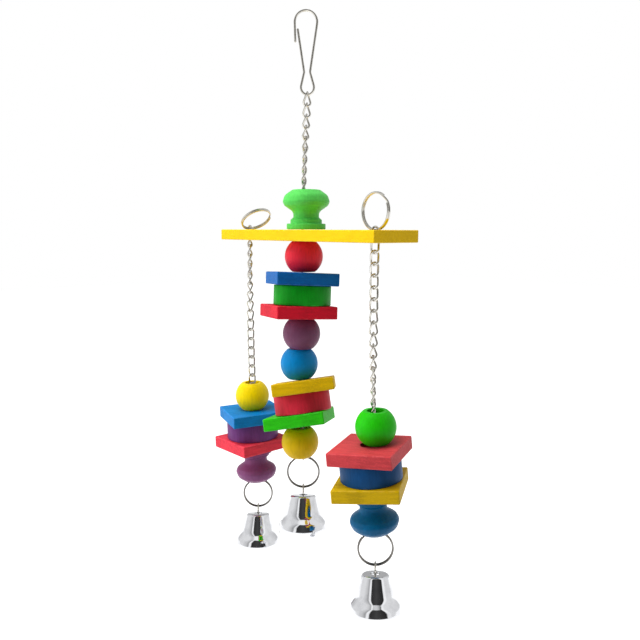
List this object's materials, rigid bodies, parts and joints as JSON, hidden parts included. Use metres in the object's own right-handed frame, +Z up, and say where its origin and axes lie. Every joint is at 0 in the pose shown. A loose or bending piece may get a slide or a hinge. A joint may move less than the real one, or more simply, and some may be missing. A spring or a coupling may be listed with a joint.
{
  "type": "bird swing",
  "caption": "Hanging bird swing: a spring-wire hook and chain carry a wooden crossbar, dyed balls, squares, drums and knobs, with side chains and bells on split rings.",
  "frame": {"origin": "where the underside of the hook's bow touches what the toy hangs from", "axes": "+Z up along the hanging toy, +X along the crossbar towards the right chain, +Y to the back"},
  "size_m": [0.1481, 0.0475, 0.3056],
  "materials": {
    "snap_hook": "nickel-plated steel wire",
    "top_link": "nickel-plated steel wire",
    "centre_chain": "nickel-plated steel wire",
    "centre_key_ring": "nickel-plated steel wire",
    "centre_yellow_ball": "satin dyed wood",
    "centre_green_plate": "satin dyed wood",
    "centre_red_drum": "satin dyed wood",
    "centre_yellow_plate": "satin dyed wood",
    "centre_blue_ball": "satin dyed wood",
    "centre_purple_ball": "satin dyed wood",
    "centre_red_plate": "satin dyed wood",
    "centre_green_drum": "satin dyed wood",
    "centre_blue_plate": "satin dyed wood",
    "centre_red_ball": "satin dyed wood",
    "crossbar": "satin dyed wood",
    "top_knob": "satin dyed wood",
    "centre_bell_hanger": "nickel-plated steel wire",
    "centre_bell": "polished nickel plate",
    "centre_clapper": "plain steel",
    "left_retaining_ring": "nickel-plated steel wire",
    "left_top_links": "nickel-plated steel wire",
    "left_swivel_link": "nickel-plated steel wire",
    "left_chain": "nickel-plated steel wire",
    "left_key_ring": "nickel-plated steel wire",
    "right_retaining_ring": "nickel-plated steel wire",
    "right_top_links": "nickel-plated steel wire",
    "right_swivel_link": "nickel-plated steel wire",
    "right_chain": "nickel-plated steel wire",
    "right_key_ring": "nickel-plated steel wire",
    "left_purple_knob": "satin dyed wood",
    "left_red_plate": "satin dyed wood",
    "left_purple_drum": "satin dyed wood",
    "left_blue_plate": "satin dyed wood",
    "left_yellow_ball": "satin dyed wood",
    "right_blue_knob": "satin dyed wood",
    "right_yellow_plate": "satin dyed wood",
    "right_blue_drum": "satin dyed wood",
    "right_pink_plate": "satin dyed wood",
    "right_green_ball": "satin dyed wood",
    "left_bell_hanger": "nickel-plated steel wire",
    "left_bell": "polished nickel plate",
    "left_clapper": "plain steel",
    "right_bell_hanger": "nickel-plated steel wire",
    "right_bell": "polished nickel plate",
    "right_clapper": "plain steel"
  },
  "bodies": {
    "hook": {"snap_hook": "snap_hook"},
    "top_link": {"top_link": "top_link"},
    "centre_chain": {"centre_chain": "centre_chain"},
    "crossbar": {"crossbar": "crossbar", "left_retaining_ring": "left_retaining_ring", "left_top_links": "left_top_links", "right_retaining_ring": "right_retaining_ring", "right_top_links": "right_top_links"},
    "top_knob": {"top_knob": "top_knob"},
    "centre_red_ball": {"centre_red_ball": "centre_red_ball"},
    "centre_blue_plate": {"centre_blue_plate": "centre_blue_plate"},
    "centre_green_drum": {"centre_green_drum": "centre_green_drum"},
    "centre_red_plate": {"centre_red_plate": "centre_red_plate"},
    "centre_purple_ball": {"centre_purple_ball": "centre_purple_ball"},
    "centre_blue_ball": {"centre_blue_ball": "centre_blue_ball"},
    "centre_yellow_plate": {"centre_yellow_plate": "centre_yellow_plate"},
    "centre_red_drum": {"centre_red_drum": "centre_red_drum"},
    "centre_green_plate": {"centre_green_plate": "centre_green_plate"},
    "centre_yellow_ball": {"centre_yellow_ball": "centre_yellow_ball"},
    "left_swivel_link": {"left_swivel_link": "left_swivel_link"},
    "left_chain": {"left_chain": "left_chain"},
    "left_yellow_ball": {"left_yellow_ball": "left_yellow_ball"},
    "left_blue_plate": {"left_blue_plate": "left_blue_plate"},
    "left_purple_drum": {"left_purple_drum": "left_purple_drum"},
    "left_red_plate": {"left_red_plate": "left_red_plate"},
    "left_purple_knob": {"left_purple_knob": "left_purple_knob"},
    "right_swivel_link": {"right_swivel_link": "right_swivel_link"},
    "right_chain": {"right_chain": "right_chain"},
    "right_green_ball": {"right_green_ball": "right_green_ball"},
    "right_pink_plate": {"right_pink_plate": "right_pink_plate"},
    "right_blue_drum": {"right_blue_drum": "right_blue_drum"},
    "right_yellow_plate": {"right_yellow_plate": "right_yellow_plate"},
    "right_blue_knob": {"right_blue_knob": "right_blue_knob"},
    "centre_key_ring": {"centre_key_ring": "centre_key_ring"},
    "centre_bell": {"centre_bell": "centre_bell", "centre_bell_hanger": "centre_bell_hanger"},
    "centre_clapper": {"centre_clapper": "centre_clapper"},
    "left_key_ring": {"left_key_ring": "left_key_ring"},
    "left_bell": {"left_bell": "left_bell", "left_bell_hanger": "left_bell_hanger"},
    "left_clapper": {"left_clapper": "left_clapper"},
    "right_key_ring": {"right_key_ring": "right_key_ring"},
    "right_bell": {"right_bell": "right_bell", "right_bell_hanger": "right_bell_hanger"},
    "right_clapper": {"right_clapper": "right_clapper"}
  },
  "joints": [
    {"name": "hook_swing", "type": "hinge", "parent": "hook", "child": "top_link", "pos_m": [0.0006, 0.00075, -0.04046], "axis": [0.6271, 0.7789, 0], "range_deg": [-60, 60]},
    {"name": "centre_chain_swing", "type": "hinge", "parent": "top_link", "child": "centre_chain", "pos_m": [0.00046, 0.00057, -0.04482], "axis": [-0.7789, 0.6271, 0], "range_deg": [-60, 60]},
    {"name": "crossbar_turn", "type": "hinge", "parent": "centre_chain", "child": "crossbar", "pos_m": [0, 0, -0.11139], "axis": [0, 0, 1], "continuous": true},
    {"name": "top_knob_turn", "type": "hinge", "parent": "centre_chain", "child": "top_knob", "pos_m": [0.00025, 0.00031, -0.09819], "axis": [0, 0, 1], "continuous": true},
    {"name": "centre_red_ball_turn", "type": "hinge", "parent": "centre_chain", "child": "centre_red_ball", "pos_m": [-0.0005, -0.00062, -0.12239], "axis": [0, 0, 1], "continuous": true},
    {"name": "centre_blue_plate_turn", "type": "hinge", "parent": "centre_chain", "child": "centre_blue_plate", "pos_m": [-0.00125, -0.00156, -0.13421], "axis": [-0.0321, 0.0683, 0.9971], "continuous": true},
    {"name": "centre_green_drum_turn", "type": "hinge", "parent": "centre_chain", "child": "centre_green_drum", "pos_m": [-0.001, -0.00125, -0.14288], "axis": [-0.0354, 0.0642, 0.9973], "continuous": true},
    {"name": "centre_red_plate_turn", "type": "hinge", "parent": "centre_chain", "child": "centre_red_plate", "pos_m": [-0.00247, -0.00307, -0.1515], "axis": [-0.0397, 0.0588, 0.9975], "continuous": true},
    {"name": "centre_purple_ball_turn", "type": "hinge", "parent": "centre_chain", "child": "centre_purple_ball", "pos_m": [-0.00125, -0.00156, -0.16329], "axis": [-0.0136, 0.0109, 0.9998], "continuous": true},
    {"name": "centre_blue_ball_turn", "type": "hinge", "parent": "centre_chain", "child": "centre_blue_ball", "pos_m": [-0.00204, -0.00254, -0.17962], "axis": [-0.049, -0.0053, 0.9988], "continuous": true},
    {"name": "centre_yellow_plate_turn", "type": "hinge", "parent": "centre_chain", "child": "centre_yellow_plate", "pos_m": [-0.0002, -0.00024, -0.19197], "axis": [-0.2387, 0.0122, 0.971], "continuous": true},
    {"name": "centre_red_drum_turn", "type": "hinge", "parent": "centre_chain", "child": "centre_red_drum", "pos_m": [-0.00094, -0.00117, -0.20102], "axis": [-0.2417, 0.0083, 0.9703], "continuous": true},
    {"name": "centre_green_plate_turn", "type": "hinge", "parent": "centre_chain", "child": "centre_green_plate", "pos_m": [-0.00177, -0.0022, -0.21009], "axis": [-0.2437, 0.0057, 0.9698], "continuous": true},
    {"name": "centre_yellow_ball_turn", "type": "hinge", "parent": "centre_chain", "child": "centre_yellow_ball", "pos_m": [-0.00172, -0.00213, -0.22299], "axis": [-0.0245, -0.0026, 0.9997], "continuous": true},
    {"name": "left_swivel_link_swing", "type": "hinge", "parent": "crossbar", "child": "left_swivel_link", "pos_m": [-0.05307, -0.00009, -0.11849], "axis": [0, 1, -0.0074], "range_deg": [-1, 60]},
    {"name": "left_chain_swing", "type": "hinge", "parent": "left_swivel_link", "child": "left_chain", "pos_m": [-0.0531, -0.00012, -0.12298], "axis": [1, 0, -0.0047], "range_deg": [-60, 60]},
    {"name": "left_yellow_ball_turn", "type": "hinge", "parent": "left_chain", "child": "left_yellow_ball", "pos_m": [-0.05269, 0.00039, -0.20753], "axis": [-0.0109, -0.0136, 0.9998], "continuous": true},
    {"name": "left_blue_plate_turn", "type": "hinge", "parent": "left_chain", "child": "left_blue_plate", "pos_m": [-0.05256, 0.00055, -0.21906], "axis": [-0.0314, -0.0195, 0.9993], "continuous": true},
    {"name": "left_purple_drum_turn", "type": "hinge", "parent": "left_chain", "child": "left_purple_drum", "pos_m": [-0.05269, 0.00039, -0.22762], "axis": [-0.0314, -0.0195, 0.9993], "continuous": true},
    {"name": "left_red_plate_turn", "type": "hinge", "parent": "left_chain", "child": "left_red_plate", "pos_m": [-0.05287, 0.00016, -0.23619], "axis": [-0.0314, -0.0195, 0.9993], "continuous": true},
    {"name": "left_purple_knob_turn", "type": "hinge", "parent": "left_chain", "child": "left_purple_knob", "pos_m": [-0.05149, 0.00187, -0.24975], "axis": [-0.0287, -0.0217, 0.9994], "continuous": true},
    {"name": "right_swivel_link_swing", "type": "hinge", "parent": "crossbar", "child": "right_swivel_link", "pos_m": [0.05294, -0.00007, -0.1192], "axis": [-1, 0, 0.0045], "range_deg": [-60, 60]},
    {"name": "right_chain_swing", "type": "hinge", "parent": "right_swivel_link", "child": "right_chain", "pos_m": [0.05293, -0.00009, -0.12369], "axis": [0, 1, -0.0044], "range_deg": [-60, 1]},
    {"name": "right_green_ball_turn", "type": "hinge", "parent": "right_chain", "child": "right_green_ball", "pos_m": [0.054, 0.00125, -0.20225], "axis": [-0.0219, -0.0272, 0.9994], "continuous": true},
    {"name": "right_pink_plate_turn", "type": "hinge", "parent": "right_chain", "child": "right_pink_plate", "pos_m": [0.05236, -0.00079, -0.21431], "axis": [-0.068, -0.0678, 0.9954], "continuous": true},
    {"name": "right_blue_drum_turn", "type": "hinge", "parent": "right_chain", "child": "right_blue_drum", "pos_m": [0.05264, -0.00044, -0.22285], "axis": [-0.068, -0.0678, 0.9954], "continuous": true},
    {"name": "right_yellow_plate_turn", "type": "hinge", "parent": "right_chain", "child": "right_yellow_plate", "pos_m": [0.05272, -0.00035, -0.23143], "axis": [-0.068, -0.0678, 0.9954], "continuous": true},
    {"name": "right_blue_knob_turn", "type": "hinge", "parent": "right_chain", "child": "right_blue_knob", "pos_m": [0.05375, 0.00093, -0.24495], "axis": [-0.0666, -0.0689, 0.9954], "continuous": true},
    {"name": "centre_key_ring_swing", "type": "hinge", "parent": "centre_chain", "child": "centre_key_ring", "pos_m": [-0.0006, -0.00075, -0.23148], "axis": [0.6271, 0.7789, 0], "range_deg": [-20, 20]},
    {"name": "centre_bell_swing", "type": "hinge", "parent": "centre_key_ring", "child": "centre_bell", "pos_m": [-0.00081, -0.00058, -0.24731], "axis": [-0.7619, 0.6134, -0.2079], "range_deg": [-30, 30]},
    {"name": "centre_clapper_swing", "type": "hinge", "parent": "centre_bell", "child": "centre_clapper", "pos_m": [0.00077, -0.00186, -0.2569], "axis": [-0.7789, 0.6271, 0], "range_deg": [-20, 20]},
    {"name": "left_key_ring_swing", "type": "hinge", "parent": "left_chain", "child": "left_key_ring", "pos_m": [-0.05078, 0.00276, -0.26009], "axis": [0.6271, 0.7789, 0], "range_deg": [-20, 20]},
    {"name": "left_bell_swing", "type": "hinge", "parent": "left_key_ring", "child": "left_bell", "pos_m": [-0.05099, 0.00293, -0.27592], "axis": [-0.7619, 0.6134, -0.2079], "range_deg": [-30, 30]},
    {"name": "left_clapper_swing", "type": "hinge", "parent": "left_bell", "child": "left_clapper", "pos_m": [-0.0494, 0.00166, -0.28551], "axis": [-0.7789, 0.6271, 0], "range_deg": [-20, 20]},
    {"name": "right_key_ring_swing", "type": "hinge", "parent": "right_chain", "child": "right_key_ring", "pos_m": [0.05449, 0.00185, -0.25534], "axis": [0.6271, 0.7789, 0], "range_deg": [-20, 20]},
    {"name": "right_bell_swing", "type": "hinge", "parent": "right_key_ring", "child": "right_bell", "pos_m": [0.05428, 0.00202, -0.27118], "axis": [-0.7619, 0.6134, -0.2079], "range_deg": [-30, 30]},
    {"name": "right_clapper_swing", "type": "hinge", "parent": "right_bell", "child": "right_clapper", "pos_m": [0.05586, 0.00074, -0.28076], "axis": [-0.7789, 0.6271, 0], "range_deg": [-20, 20]}
  ]
}
